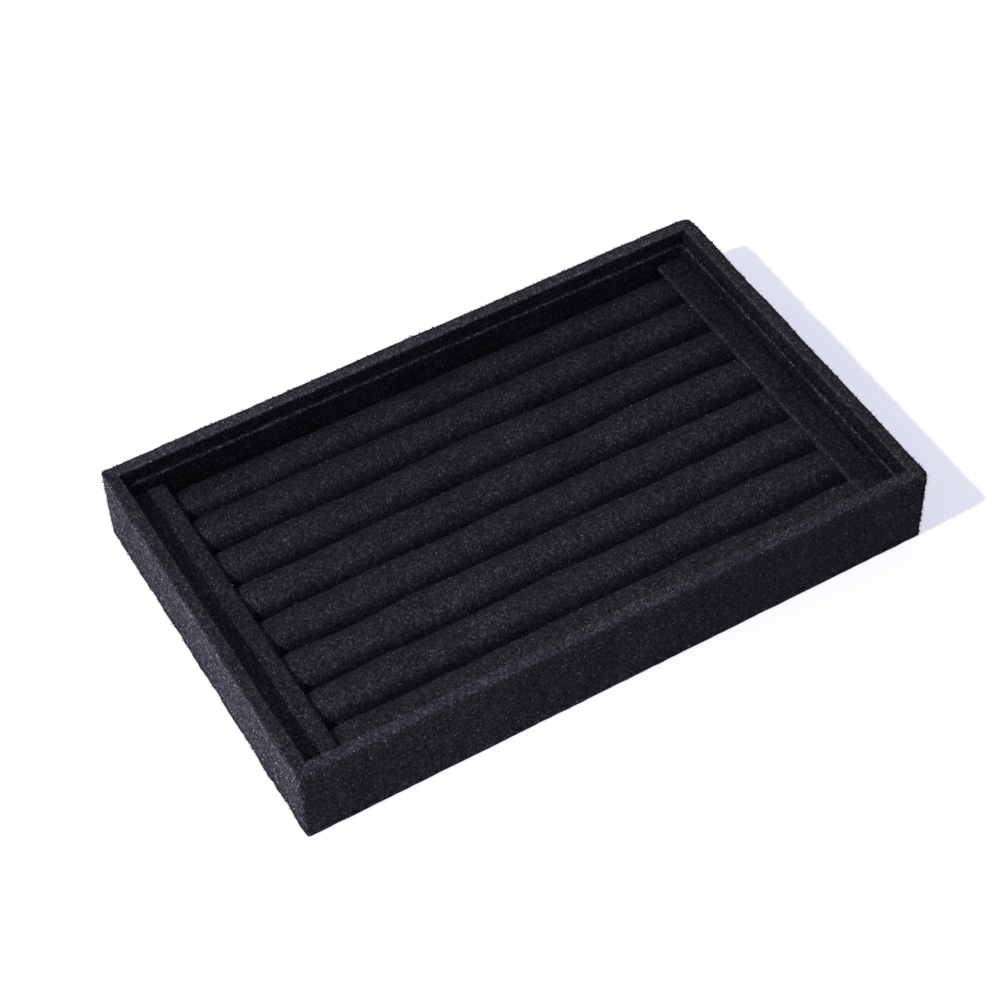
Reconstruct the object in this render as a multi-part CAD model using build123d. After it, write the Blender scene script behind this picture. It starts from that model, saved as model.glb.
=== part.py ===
"""Velvet display tray with a lift-out insert of soft slot rolls.

The long side of the tray runs along X, its front looks towards -Y, and +Z is up.
The origin is the middle of the underside. All sizes are in millimetres.
"""
import os

from build123d import *

# Outer size of the whole tray
tray_length = 225.0
tray_depth = 140.0
tray_height = 30.0

# Thickness of each sheet that the tray is made of
velvet = 0.8
wall_board = 3.0
floor_board = 2.5
backing_sheet = 0.5
liner_card = 0.7
insert_card = 1.0
strip_board = 0.7

# The tray shell
corner_round = 0.8
rim_round = 0.6
ledge_drop = 5.4
ledge_round = 0.5
backing_inset = 1.5

# The insert and its rolls. The back roll is squeezed narrower than the others.
insert_clearance = 0.3
roll_count = 8
back_roll_share = 0.9
roll_flank = 5.7
roll_gap = 0.3
roll_end_round = 1.2
glue_film = 0.1

# The two strips that lie over the ends of the rolls
left_strip_width = 11.8
right_strip_width = 10.2
strip_round = 0.6

# One overrun carries every cut past the face where it starts, and edges this near a place are at it
overrun = 1.0
near = 0.01

# Heights, from the underside up to the rim
floor_bottom = backing_sheet
floor_top = floor_bottom + floor_board
bed_height = floor_top + velvet
roll_bottom = bed_height + insert_card
ledge_height = tray_height - ledge_drop

# Outlines, from the outside of the tray inwards
core_length = tray_length - 2 * velvet
core_depth = tray_depth - 2 * velvet
sheet_length = tray_length - 2 * backing_inset
sheet_depth = tray_depth - 2 * backing_inset
floor_length = core_length - 2 * wall_board
floor_depth = core_depth - 2 * wall_board
well_length = floor_length - 2 * velvet
well_depth = floor_depth - 2 * velvet
bed_length = well_length - 2 * (liner_card + velvet)
bed_depth = well_depth - 2 * (liner_card + velvet)
insert_length = bed_length - 2 * insert_clearance
insert_depth = bed_depth - 2 * insert_clearance

# The rolls share out the depth of the insert
roll_pitch = insert_depth / (roll_count - 1 + back_roll_share)
roll_crest = roll_bottom + roll_flank + (roll_pitch - roll_gap) / 2
strip_bottom = roll_crest + glue_film


def block(length, depth, bottom, top, x=0, y=0):
    """A plain block centred on (x, y), from one height to another."""
    standing = (Align.CENTER, Align.CENTER, Align.MIN)
    return Pos(x, y, bottom) * Box(length, depth, top - bottom, align=standing)


def frame(length, depth, thickness, bottom, top):
    """Four walls of one thickness round a rectangle, with their outer faces on it."""
    outside = block(length, depth, bottom, top)
    inside = block(length - 2 * thickness, depth - 2 * thickness, bottom - overrun, top + overrun)
    return outside - inside


def edges_at(shape, height):
    """The edges of a shape that lie flat at one height."""
    flat = []
    for edge in shape.edges():
        box = edge.bounding_box()
        if max(abs(box.min.Z - height), abs(box.max.Z - height)) < near:
            flat.append(edge)
    return flat


def wall_strips(length, depth, thickness, bottom, top):
    """The boards of a butt-jointed frame: front and back run through, left and right fit between them."""
    side_x = (length - thickness) / 2
    side_y = (depth - thickness) / 2
    side_depth = depth - 2 * thickness
    return {
        "front": block(length, thickness, bottom, top, y=-side_y),
        "back": block(length, thickness, bottom, top, y=side_y),
        "left": block(thickness, side_depth, bottom, top, x=-side_x),
        "right": block(thickness, side_depth, bottom, top, x=side_x),
    }


def outer_velvet():
    """Velvet outside, over the rim and down the inside of the walls, with soft outer corners."""
    outline = extrude(RectangleRounded(tray_length, tray_depth, corner_round), tray_height - floor_bottom)
    jacket = Pos(0, 0, floor_bottom) * outline
    jacket -= block(well_length, well_depth, floor_top, tray_height + overrun)
    jacket = fillet(edges_at(jacket, tray_height), rim_round)
    jacket -= block(floor_length, floor_depth, floor_bottom - overrun, floor_top)
    jacket -= frame(core_length, core_depth, wall_board, floor_bottom - overrun, tray_height - velvet)
    return jacket


def liner_velvet():
    """Velvet over the top edge and down the inner face of the liner cards, which makes the ledge."""
    sleeve = frame(well_length, well_depth, liner_card + velvet, floor_top, ledge_height)
    inner_edges = []
    for edge in edges_at(sleeve, ledge_height):
        middle = edge.center()
        if max(abs(middle.X) - bed_length / 2, abs(middle.Y) - bed_depth / 2) < near:
            inner_edges.append(edge)
    sleeve = fillet(inner_edges, ledge_round)
    sleeve -= frame(well_length, well_depth, liner_card, floor_top - overrun, ledge_height - velvet)
    return sleeve


def roll_bar(width, length, y, skin=0.0, end_round=0.0):
    """A bar along X with straight flanks and a half-round crown, drawn in by the skin that lies over it."""
    radius = width / 2 - skin
    half = length / 2 - skin
    with BuildPart() as bar:
        with BuildSketch(Plane.YZ.offset(-half)):
            with BuildLine():
                Polyline((-radius, roll_flank), (-radius, 0), (radius, 0), (radius, roll_flank))
                ThreePointArc((radius, roll_flank), (0, roll_flank + radius), (-radius, roll_flank))
            make_face()
        extrude(amount=2 * half)
        if end_round:
            ends = bar.edges().group_by(Axis.X)[0] + bar.edges().group_by(Axis.X)[-1]
            fillet([edge for edge in ends if edge.bounding_box().max.Z > near], end_round)
    return Pos(0, y, roll_bottom) * bar.part


def rolls():
    """Foam bars in velvet covers, side by side from the front of the insert to its back."""
    pieces = {}
    front = -insert_depth / 2
    for number in range(1, roll_count + 1):
        space = roll_pitch * (back_roll_share if number == roll_count else 1)
        width = space - roll_gap
        y = front + space / 2
        cover = roll_bar(width, insert_length, y, end_round=roll_end_round)
        pieces[f"roll_foam_{number}"] = roll_bar(width, insert_length, y, skin=velvet + glue_film)
        pieces[f"roll_velvet_{number}"] = cover - roll_bar(width, insert_length, y, skin=velvet)
        front += space
    return pieces


def end_strip(width, side):
    """A stiff strip over the roll ends at one side, and the velvet folded over its top and edges."""
    x = side * (insert_length - width) / 2
    board_top = strip_bottom + strip_board
    board = block(width - 2 * velvet, insert_depth - 2 * velvet, strip_bottom, board_top, x=x)
    wrap = block(width, insert_depth, strip_bottom, board_top + velvet, x=x)
    wrap = fillet(wrap.edges().filter_by(Axis.Z) + wrap.edges().group_by(Axis.Z)[-1], strip_round)
    return board, wrap - board


def shell_pieces():
    """Every piece of the tray that stays on the table when the insert is lifted out."""
    pieces = {
        "under_sheet": block(sheet_length, sheet_depth, 0, floor_bottom),
        "base_board": block(floor_length, floor_depth, floor_bottom, floor_top),
        "floor_velvet": block(bed_length, bed_depth, floor_top, bed_height),
        "outer_velvet": outer_velvet(),
        "liner_velvet": liner_velvet(),
    }
    walls = wall_strips(core_length, core_depth, wall_board, floor_bottom, tray_height - velvet)
    cards = wall_strips(well_length, well_depth, liner_card, floor_top, ledge_height - velvet)
    for side in walls:
        pieces[f"{side}_wall_board"] = walls[side]
        pieces[f"{side}_liner_card"] = cards[side]
    return pieces


def insert_pieces():
    """Every piece that lifts out together."""
    left_board, left_wrap = end_strip(left_strip_width, -1)
    right_board, right_wrap = end_strip(right_strip_width, 1)
    pieces = {
        "insert_card": block(insert_length, insert_depth, bed_height, roll_bottom),
        "left_strip_board": left_board,
        "left_strip_velvet": left_wrap,
        "right_strip_board": right_board,
        "right_strip_velvet": right_wrap,
    }
    pieces.update(rolls())
    return pieces


os.makedirs("parts", exist_ok=True)
for name, piece in {**shell_pieces(), **insert_pieces()}.items():
    piece.label = name
    export_step(piece, f"parts/{name}.step")
    print(f"{name}: {len(piece.solids())} solid, {piece.volume:.0f} mm3")
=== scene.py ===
# %% [markdown]
# # A velvet display tray, dressed in Blender
#
# The tray comes to Blender as a frame: boards, cards and plain solids, each at its real place and size.
# This lesson gives it its looks. The stiff hidden pieces keep their shape and get a finish. The velvet and
# the foam are soft, so they are made again as surfaces, and their plain solids are hidden.
# Every surface here is worked out with numpy as a whole grid of points, in metres.

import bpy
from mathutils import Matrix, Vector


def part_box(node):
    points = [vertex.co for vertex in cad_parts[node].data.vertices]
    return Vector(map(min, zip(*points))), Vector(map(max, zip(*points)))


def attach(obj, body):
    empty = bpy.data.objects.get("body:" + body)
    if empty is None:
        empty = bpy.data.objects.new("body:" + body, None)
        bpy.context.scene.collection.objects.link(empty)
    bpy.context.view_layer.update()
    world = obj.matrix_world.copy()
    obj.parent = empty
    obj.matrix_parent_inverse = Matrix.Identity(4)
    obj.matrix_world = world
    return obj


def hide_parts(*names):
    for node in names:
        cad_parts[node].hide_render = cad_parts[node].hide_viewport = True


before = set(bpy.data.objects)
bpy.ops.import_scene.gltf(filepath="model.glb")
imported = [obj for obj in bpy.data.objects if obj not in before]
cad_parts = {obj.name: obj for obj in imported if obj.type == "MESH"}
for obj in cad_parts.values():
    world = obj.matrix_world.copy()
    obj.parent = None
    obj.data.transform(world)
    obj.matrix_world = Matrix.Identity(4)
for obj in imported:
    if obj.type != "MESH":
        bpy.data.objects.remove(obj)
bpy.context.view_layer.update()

# %% [markdown]
# ## Tools and units
# A real part is measured in millimetres and Blender counts in metres, so one factor stands between them.
# The sizes of the big pieces aren't typed here. They are read from the frame, so that the velvet fits the
# boards even if the tray is made in another size.

# %% Units, and the sizes that the frame gives
import math

import bmesh
import bpy
import numpy as np

MM = 0.001
FULL_TURN = 2 * math.pi
QUARTER_TURN = math.pi / 2


def corners(node):
    """The lowest and the highest corner of one node of the frame."""
    low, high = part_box(node)
    return np.array(low), np.array(high)


tray_low, tray_high = corners("outer_velvet")
well_low, well_high = corners("liner_velvet")
bed_low, bed_high = corners("floor_velvet")
board_low, board_high = corners("front_wall_board")
card_high = corners("front_liner_card")[1]
backing_low = corners("under_sheet")[0]
roll_count = sum(name.startswith("roll_velvet_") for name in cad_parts)
print("tray size in mm:", ((tray_high - tray_low) / MM).round(1), "with", roll_count, "rolls")

# %% [markdown]
# ## From a grid of points to a mesh
# A surface of two parameters is a table of points: one parameter runs down the rows and the other along
# the columns. Each face joins four neighbours. If the last row meets the first, the table closes into a
# tube, and if the columns close too, into a ring like a picture frame. Rows and columns always run so that
# column direction times row direction points out of the piece, which keeps every face outward.


# %% Mesh helpers
def put_in_scene(name, data):
    """An object that shows a mesh, a lamp or a camera."""
    thing = bpy.data.objects.new(name, data)
    bpy.context.scene.collection.objects.link(thing)
    return thing


def build_mesh(name, points, faces):
    """A smooth mesh object from a table of points and a table of faces with equal corner counts."""
    mesh = bpy.data.meshes.new(name)
    mesh.vertices.add(len(points))
    mesh.vertices.foreach_set("co", np.ascontiguousarray(points, np.float32).ravel())
    mesh.loops.add(faces.size)
    mesh.loops.foreach_set("vertex_index", np.ascontiguousarray(faces, np.int32).ravel())
    mesh.polygons.add(len(faces))
    mesh.polygons.foreach_set("loop_start", np.arange(0, faces.size, faces.shape[1], dtype=np.int32))
    mesh.update(calc_edges=True)
    mesh.shade_smooth()
    return put_in_scene(name, mesh)


def ring(table):
    """A table with its first column once more at the end."""
    return np.hstack([table, table[:, :1]])


def four_corners(table):
    """Each face's four corners as four lists: first, right neighbour, the one above that, above first."""
    corner_tables = table[:-1, :-1], table[:-1, 1:], table[1:, 1:], table[1:, :-1]
    return [q.reshape(-1, *table.shape[2:]) for q in corner_tables]


def grid_faces(rows, columns, ring_rows=False, ring_columns=False):
    """The faces of a grid, each as the numbers of its four points."""
    index = np.arange(rows * columns).reshape(rows, columns)
    index = np.vstack([index, index[:1]]) if ring_rows else index
    return np.stack(four_corners(ring(index) if ring_columns else index), -1)


def mark_points(piece, **marks):
    """Gives a mesh named numbers, one for each point."""
    for mark, values in marks.items():
        layer = piece.data.attributes.new(mark, "FLOAT", "POINT")
        layer.data.foreach_set("value", np.ascontiguousarray(values, np.float32).ravel())


def surface(name, grid, nap=None, **rings):
    """A mesh object from a grid of points. Its nap, one number for each point, is how light its pile looks,
    with painted light and shade in it.
    """
    rows, columns = grid.shape[:2]
    piece = build_mesh(name, grid.reshape(-1, 3), grid_faces(rows, columns, **rings))
    if nap is not None:
        mark_points(piece, nap=np.broadcast_to(nap, (rows, columns)))
    return piece


def close_seams(piece, nearer=0.001 * MM):
    """Merges the points that lie on one spot, where a grid ends in a line or a pole."""
    cleaner = bmesh.new()
    cleaner.from_mesh(piece.data)
    bmesh.ops.remove_doubles(cleaner, verts=cleaner.verts, dist=nearer)
    cleaner.to_mesh(piece.data)
    cleaner.free()
    return piece


def thicken(piece, depth):
    """Gives a sheet its thickness, from its surface inwards."""
    thick = piece.modifiers.new("cloth", "SOLIDIFY")
    thick.thickness = depth
    thick.offset = -1


def finish_piece(piece, finish, slot, body, *stands_for):
    """Gives a piece its material, the body that it rides on and the nodes that it stands for. Slot: not
    used.
    """
    piece.data.materials.append(finish)
    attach(piece, body)
    if stands_for:
        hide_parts(*stands_for)
    print(f"{piece.name}: {len(piece.data.polygons)} faces")
    return piece


# %% [markdown]
# ## Nothing on a hand-made tray is dead straight
# Boards are wrapped by hand and foam is sawn, so faces wander by a few tenths of a millimetre. A sum of
# sine waves in random directions gives a soft random field for that. It costs one matrix product for a
# whole grid, and it gives the same numbers each time.


# %% Soft random fields and grid directions
tiny = 1e-12
wave_spread = (0.7, 1.4)


def unit(vectors):
    """The vectors along the last axis of a table, each at length 1."""
    return vectors / np.maximum(np.linalg.norm(vectors, axis=-1, keepdims=True), tiny)


def soft_field(points, wave, seed, waves=24):
    """A sum of sine waves, each about `wave` long and in a random direction, with a spread of about 1."""
    dice = np.random.default_rng(seed)
    ways = unit(dice.normal(size=(waves, 3))) * FULL_TURN / wave
    ways *= dice.uniform(*wave_spread, (waves, 1))
    phases = dice.uniform(0, FULL_TURN, waves)
    return np.sin(points @ ways.T + phases).sum(-1) / math.sqrt(waves / 2)


def faults(points, *kinds):
    """How far a hand-made face strays: soft fields added up, each (depth in mm, wave in mm, seed)."""
    return sum(depth * MM * soft_field(points, wave * MM, seed) for depth, wave, seed in kinds)


def ramp_up(value, start, end):
    """0 before start, 1 after end, and a smooth rise with level ends in between."""
    share = np.clip((value - start) / (end - start), 0, 1)
    return share * share * (3 - 2 * share)


def bump_at(value, centre, width):
    """A smooth hill, 1 at its centre and about a third at `width` from it."""
    return np.exp(-((value - centre) / width) ** 2)


def outward(grid, ring_columns=False):
    """The unit normals of a grid: the step along the columns times the step along the rows."""
    if ring_columns:
        along = np.roll(grid, -1, axis=1) - np.roll(grid, 1, axis=1)
    else:
        along = np.gradient(grid, axis=1)
    return unit(np.cross(along, np.gradient(grid, axis=0)))


# %% [markdown]
# ## The velvet
# The cloth is cotton velveteen in black: a dense pile, less than a millimetre deep, on a woven ground.
# Pile swallows light that falls straight into it and scatters light that grazes its tips, which is why the
# steep side of the tray looks grey while its top looks black. The Sheen of the Principled shader does just
# that. The pile stands in small clumps that lean in slightly different ways, so the colour varies in four
# sizes: tufts, clumps, brushed patches, and slow shading over some centimetres.


# %% Colour and node helpers
def from_hex(code):
    """An sRGB hex colour as the linear numbers that Blender counts in."""
    srgb = np.array([int(code[i:i + 2], 16) for i in (1, 3, 5)]) / 255
    linear = np.where(srgb <= 0.04045, srgb / 12.92, ((srgb + 0.055) / 1.055) ** 2.4)
    return (*linear.tolist(), 1.0)


def add(tree, kind, inputs=None, **settings):
    """Adds one node. Each input is a plain value for the socket, or another node's output to link to it."""
    node = tree.nodes.new("ShaderNode" + kind)
    for setting, value in settings.items():
        setattr(node, setting, value)
    for socket, value in (inputs or {}).items():
        if isinstance(value, bpy.types.NodeSocket):
            tree.links.new(value, node.inputs[socket])
        else:
            node.inputs[socket].default_value = value
    return node


def new_finish(name):
    """An empty material, its node tree, and the point in space that its patterns read."""
    finish = bpy.data.materials.new(name)
    finish.use_nodes = True
    finish.node_tree.nodes.clear()
    place = add(finish.node_tree, "TexCoord").outputs["Object"]
    return finish, finish.node_tree, place


def noise(tree, place, size, detail=2.0):
    """A cloud pattern whose patches are about `size` across."""
    return add(tree, "TexNoise", {"Vector": place, "Scale": 1 / size, "Detail": detail}).outputs["Fac"]


def weighed(tree, *pairs, start=0.0):
    """The sum of outputs, each times its weight, on top of a start."""
    total = start
    for output, weight in pairs:
        total = add(tree, "Math", {0: output, 1: weight, 2: total}, operation="MULTIPLY_ADD").outputs[0]
    return total


def shades(tree, value, *stops):
    """Turns a number into a colour through (place, hex colour) stops."""
    ramp = add(tree, "ValToRGB", {"Fac": value})
    elements = ramp.color_ramp.elements
    while len(elements) < len(stops):
        elements.new(0.5)
    for element, (place, code) in zip(elements, stops):
        element.position = place
        element.color = from_hex(code)
    return ramp.outputs["Color"]


def plug_in(tree, shader):
    """Links a shader to the material's output."""
    add(tree, "OutputMaterial", {"Surface": shader.outputs[0]})


def plain_stuff(tree, colour, rough, height, relief, strength, gloss=0.5):
    """The shader of a stiff or spongy stuff: a colour, and a bump that is `relief` deep."""
    bump = add(tree, "Bump", {"Strength": strength, "Distance": relief, "Height": height}).outputs[0]
    inputs = {"Base Color": colour, "Roughness": rough, "Normal": bump, "Specular IOR Level": gloss}
    plug_in(tree, add(tree, "BsdfPrincipled", inputs))


# %% [markdown]
# The velvet needs finishes for the cloth itself and for the fibres that stand on it. Both read the same
# pattern, so fibre and ground agree at each spot. On the rim the pile is raised and catches grazing light.
# On the front and back it is brushed, and on the ends it is combed along them, which draws its clumps out.
# Inside and on the rolls it was pressed flat and has little sheen. How dark velvet looks also depends on
# which way the pile lies. Each point carries that as a number called nap, which multiplies the colour. The
# nap also holds painted light and shade: lighter where light falls, darker in shade and down in creases.

# %% The sizes and tones of velvet
tuft = 0.55 * MM
clump = 0.9 * MM
brushed_patch = 3.2 * MM
slow_shade = 22 * MM
mix_weights = (0.5, 0.25, 0.15, 0.1)
lint_spacing = 3.8 * MM
lint_size = 0.22 * MM
lint_colour = from_hex("#5B5963")
clump_relief = 0.35 * MM
clump_bump = 0.7
velvet_rough = 0.95
velvet_gloss = 0.06
sheen_rough = 0.36
sheen_tint = from_hex("#D4D2EF")
fleck_share = 0.5
ground_tones = (0.27, "#0D0C12"), (0.5, "#1A191F"), (0.66, "#29282F"), (0.84, "#494850")
middling_ground_tones = (0.28, "#0A0910"), (0.5, "#18171E"), (0.66, "#2A2931"), (0.83, "#494852")
inner_ground_tones = (0.3, "#08080F"), (0.5, "#18171F"), (0.64, "#2E2D35"), (0.8, "#4E4D57")
strong_ground_tones = (0.32, "#08080E"), (0.5, "#18171E"), (0.62, "#302F37"), (0.78, "#55545D")
fibre_tones = (0.26, "#0F0E14"), (0.5, "#1C1B22"), (0.71, "#313037"), (0.86, "#53525A"), (1, "#B3B2B9")
strong_fibre_tones = ((0.28, "#0A0A10"), (0.5, "#1A1920"), (0.7, "#36353E"), (0.86, "#5E5D66"),
                      (1, "#AEADB6"))

# Each kind's sheen, the tones of its ground and its fibres, and a factor on y that draws its clumps out
velvet_kinds = {
    "raised": (0.11, ground_tones, fibre_tones, 1),
    "brushed": (0.03, middling_ground_tones, fibre_tones, 1),
    "combed": (0.03, strong_ground_tones, strong_fibre_tones, 0.42),
    "inner_walls": (0.01, inner_ground_tones, fibre_tones, 1),
    "laid": (0.01, ground_tones, fibre_tones, 1),
}


# %% The pattern and the shader of velvet
def velvet_mix(tree, place, y_factor):
    """Tufts, clumps, brushed patches and slow shading in one number, about 0.5 on the whole, and the
    clumps alone."""
    drawn_out = add(tree, "VectorMath", {0: place, 1: (1, y_factor, 1)}, operation="MULTIPLY").outputs[0]
    tufts = add(tree, "TexVoronoi", {"Vector": place, "Scale": 1 / tuft}).outputs["Color"]
    clumps = noise(tree, drawn_out, clump)
    patches = noise(tree, place, brushed_patch)
    slow = noise(tree, place, slow_shade, detail=1.0)
    return weighed(tree, *zip((tufts, clumps, patches, slow), mix_weights)), clumps


def velvet_shader(tree, colour, sheen, bump=None):
    """A rough black surface with sheen, its colour times the nap, which also holds painted light and shade.
    Values that are the same all over sit on the shader's own sockets."""
    nap = add(tree, "Attribute", attribute_name="nap").outputs["Fac"]
    toned = add(tree, "VectorMath", {0: colour, "Scale": nap}, operation="SCALE").outputs[0]
    inputs = {"Base Color": toned, "Roughness": velvet_rough, "Specular IOR Level": velvet_gloss,
              "Sheen Weight": sheen, "Sheen Roughness": sheen_rough, "Sheen Tint": sheen_tint}
    if bump:
        inputs["Normal"] = bump
    plug_in(tree, add(tree, "BsdfPrincipled", inputs))


# %% Finishes for the ground and the fibres
def velvet_ground(kind):
    """Black velveteen: near black with a cool cast, mottled by tufts, with sparse pale lint."""
    sheen, tones, _, y_factor = velvet_kinds[kind]
    finish, tree, place = new_finish(f"black_velveteen_{kind}")
    mix, clumps = velvet_mix(tree, place, y_factor)
    specks = add(tree, "TexVoronoi", {"Vector": place, "Scale": 1 / lint_spacing}).outputs["Distance"]
    lint = add(tree, "Math", {0: specks, 1: lint_size / lint_spacing}, operation="LESS_THAN").outputs[0]
    blend = {0: lint, 6: shades(tree, mix, *tones), 7: lint_colour}
    dusty = add(tree, "Mix", blend, data_type="RGBA").outputs[2]
    bump = add(tree, "Bump", {"Strength": clump_bump, "Distance": clump_relief, "Height": clumps})
    velvet_shader(tree, dusty, sheen, bump.outputs[0])
    return finish


def velvet_fibre(kind):
    """The pile's own fibres: the same black, each a little lighter or darker, now and then a pale one."""
    sheen, _, tones, y_factor = velvet_kinds[kind]
    finish, tree, place = new_finish(f"velveteen_fibre_{kind}")
    mix, _ = velvet_mix(tree, place, y_factor)
    fleck = add(tree, "Attribute", attribute_name="fleck").outputs["Fac"]
    shade = weighed(tree, (mix, 1 - fleck_share), (fleck, fleck_share))
    velvet_shader(tree, shades(tree, shade, *tones), sheen)
    return finish


velvet = {kind: velvet_ground(kind) for kind in velvet_kinds}
fibre = {kind: velvet_fibre(kind) for kind in velvet_kinds}
print("velvet finishes:", [finish.name for finish in bpy.data.materials])

# %% [markdown]
# ## The pile's fibres
# Seen against the light, the edge of velvet isn't a clean line but a fringe of fibre tips. A bump can't do
# that, because it never changes an outline, so the fibres that show are real. Each is a thin spike with
# three sides and a foot, sunk a little into the cloth. Real fibres are finer than the picture can show, so
# each spike stands for a small tuft. A fibre has one colour, so a UV map gives it a small square of its
# own, which keeps that colour when the finish is baked into a picture.

# %% The sizes of fibres, and their map
pile_density = 3.0 / MM**2
tuft_radius = 0.095 * MM
tuft_lengths = (0.25 * MM, 0.65 * MM)
hair_share = 0.08
hair_radius = 0.06 * MM
hair_lengths = (0.8 * MM, 1.5 * MM)
fibre_sunk = 0.12 * MM
fibre_lean = 0.55
pale_fibre_share = 0.012
lowest_tip = 0.05 * MM
bunch_spread = 0.25 * MM
cell_corners = ((0.1, 0.1), (0.9, 0.1), (0.5, 0.9))
pale_lift = 1.2


def map_fibres(piece, count):
    """A UV map with a square cell for each fibre. All its triangles lie on one another there, since apart
    they would be too small on the map to hold a colour."""
    columns = math.ceil(math.sqrt(count))
    cells = np.stack(np.divmod(np.arange(count), columns), -1)
    places = np.broadcast_to(cells[:, None, None] + np.array(cell_corners), (count, 4, 3, 2)) / columns
    fibre_map = piece.data.uv_layers.new(name="OFBake", do_init=False)
    fibre_map.uv.foreach_set("vector", places.astype(np.float32).ravel())


# %% Grow fibres on a grid
def grow_pile(name, grid, nap, seed, kind, body, combed=0.0, density=pile_density, hairs=hair_share,
              bunch=1, pale=pale_fibre_share):
    """Fibres on a grid of points. Faces are drawn by their area, a foot is a random mix of the face's four
    corners, and the tip stands on the face's normal, tipped over by a random lean and, if the pile is
    combed, along the grid's rows. The three foot points lie on a small circle round the foot. Most are
    short thick tufts and a few are long fine hairs. In a bunch, several fibres fan out from one place."""
    dice = np.random.default_rng(seed)
    a, b, c, d = four_corners(grid)
    normal = np.cross(c - a, d - b)
    area = np.linalg.norm(normal, axis=1) / 2
    bunches = int(area.sum() * density / bunch)
    count = bunches * bunch
    face = np.repeat(dice.choice(len(area), bunches, p=area / area.sum()), bunch)
    across, up = np.repeat(dice.random((2, bunches, 1)), bunch, axis=1)
    lower = a[face] * (1 - across) + b[face] * across
    upper = d[face] * (1 - across) + c[face] * across
    foot = lower * (1 - up) + upper * up
    normal = normal[face] / (2 * area[face, None])
    side = unit(np.cross(normal, dice.normal(size=(count, 3))))
    other = np.cross(normal, side)
    if bunch > 1:
        foot += side * dice.uniform(0, bunch_spread, (count, 1))
    is_hair = dice.random((count, 1)) < hairs
    radius = np.where(is_hair, hair_radius, tuft_radius)[:, None]
    turn = np.arange(3) * FULL_TURN / 3
    circle = np.cos(turn)[:, None] * side[:, None] + np.sin(turn)[:, None] * other[:, None]
    base = foot[:, None] - normal[:, None] * fibre_sunk + circle * radius
    lean = side * np.abs(dice.normal(0, fibre_lean, (count, 1)))
    lean += combed * unit((b - a)[face])
    hair_length = dice.uniform(*hair_lengths, (count, 1))
    length = np.where(is_hair, hair_length, dice.uniform(*tuft_lengths, (count, 1)))
    tip = foot + unit(normal + lean) * length
    points = np.concatenate([base, tip[:, None]], 1)
    points[..., 2] = np.maximum(points[..., 2], lowest_tip)
    spike = np.array([[0, 1, 3], [1, 2, 3], [2, 0, 3], [2, 1, 0]])
    faces = (spike[None] + 4 * np.arange(count)[:, None, None]).reshape(-1, 3)
    piece = build_mesh(name, points.reshape(-1, 3), faces)
    map_fibres(piece, count)
    fleck = dice.uniform(0, 1, count) + (dice.random(count) < pale) * pale_lift
    nap = sum(four_corners(nap))[face] / 4
    mark_points(piece, fleck=np.repeat(fleck, 4), nap=np.repeat(nap, 4))
    finish_piece(piece, fibre[kind], "velvet", body)


# %% [markdown]
# ## The outer velvet
# One piece of velvet covers the outside of the walls, turns over the rim and runs down inside. That is a
# profile carried along a path. The path is a rounded rectangle, and the profile says how far each point
# lies in from the outside, how high it lies, and how tight the corner is there. The profile closes on
# itself, so the velvet has its real thickness, with room for the board inside.


# %% The way round a rounded rectangle
def way_round(length, depth, step, corner_steps=7):
    """Points once round a rectangle, counter-clockwise from the front left corner. For each point it gives
    the share of the corner centres, from -1 to 1 in x and y, and the outward direction. Along a side the
    share runs from one corner centre to the next, and in a corner the direction turns by a quarter."""
    shares, ways, sides = [], [], []
    turn = QUARTER_TURN * np.arange(corner_steps) / corner_steps
    ends = np.array([(-1, -1), (1, -1), (1, 1), (-1, 1), (-1, -1)], float)
    for side in range(4):
        steps = math.ceil((length, depth)[side % 2] / step)
        along = np.arange(steps)[:, None] / steps
        facing = (side - 1) * QUARTER_TURN
        angles = np.concatenate([np.full(steps, facing), facing + turn])
        straight = ends[side] + (ends[side + 1] - ends[side]) * along
        shares.append(np.vstack([straight, np.tile(ends[side + 1], (corner_steps, 1))]))
        ways.append(np.stack([np.cos(angles), np.sin(angles)], 1))
        sides.append(np.full(steps + corner_steps, side))
    return np.vstack(shares), np.vstack(ways), np.concatenate(sides)


def carried_round(path, half, inset, height, radius):
    """Carries a profile round the rectangle. Each point is its share of the corner centre, which lies the
    inset and the radius in from the corner, plus the radius along the outward direction."""
    shares, ways, _ = path
    centre = half[None] - (inset + radius)[:, None]
    flat = shares[None] * centre[:, None] + ways[None] * radius[:, None, None]
    return np.dstack([flat, np.broadcast_to(height[:, None], flat.shape[:2])])


def by_side(ways, front=0, right=0, back=0, left=0):
    """One number for each direction: that of the side it faces, and in a corner a mix of two."""
    x, y = ways.T
    return np.where(x > 0, right, left) * x * x + np.where(y > 0, back, front) * y * y


def run(start, end, step):
    """Evenly spaced points from one profile point up to the next, without the last."""
    start, end = np.array(start, float), np.array(end, float)
    steps = max(1, math.ceil(np.linalg.norm(end - start) / step))
    return start + (end - start) * np.arange(steps)[:, None] / steps


def bend(centre, radius, start, end, steps=5):
    """Points on an arc, from one angle in quarter turns to another, without the last."""
    angle = QUARTER_TURN * (start + (end - start) * np.arange(steps) / steps)
    return np.array(centre) + radius * np.stack([np.cos(angle), np.sin(angle)], 1)


# %% The profile of the outer velvet
cloth = tray_high[2] - board_high[2]
wall = well_low[0] - tray_low[0]
weave_step = 0.9 * MM
hidden_step = 4 * MM
rim_round = 0.6 * MM
foot_round = 0.2 * MM
foot_gap = 0.03 * MM
glue_edge = 0.15 * MM
turn_in = backing_low[0] - tray_low[0] - glue_edge
outer_corner = 0.75 * MM
inner_corner = 0.7 * MM
rim = tray_high[2]
ledge = well_high[2]
board_foot = board_low[2]

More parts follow.
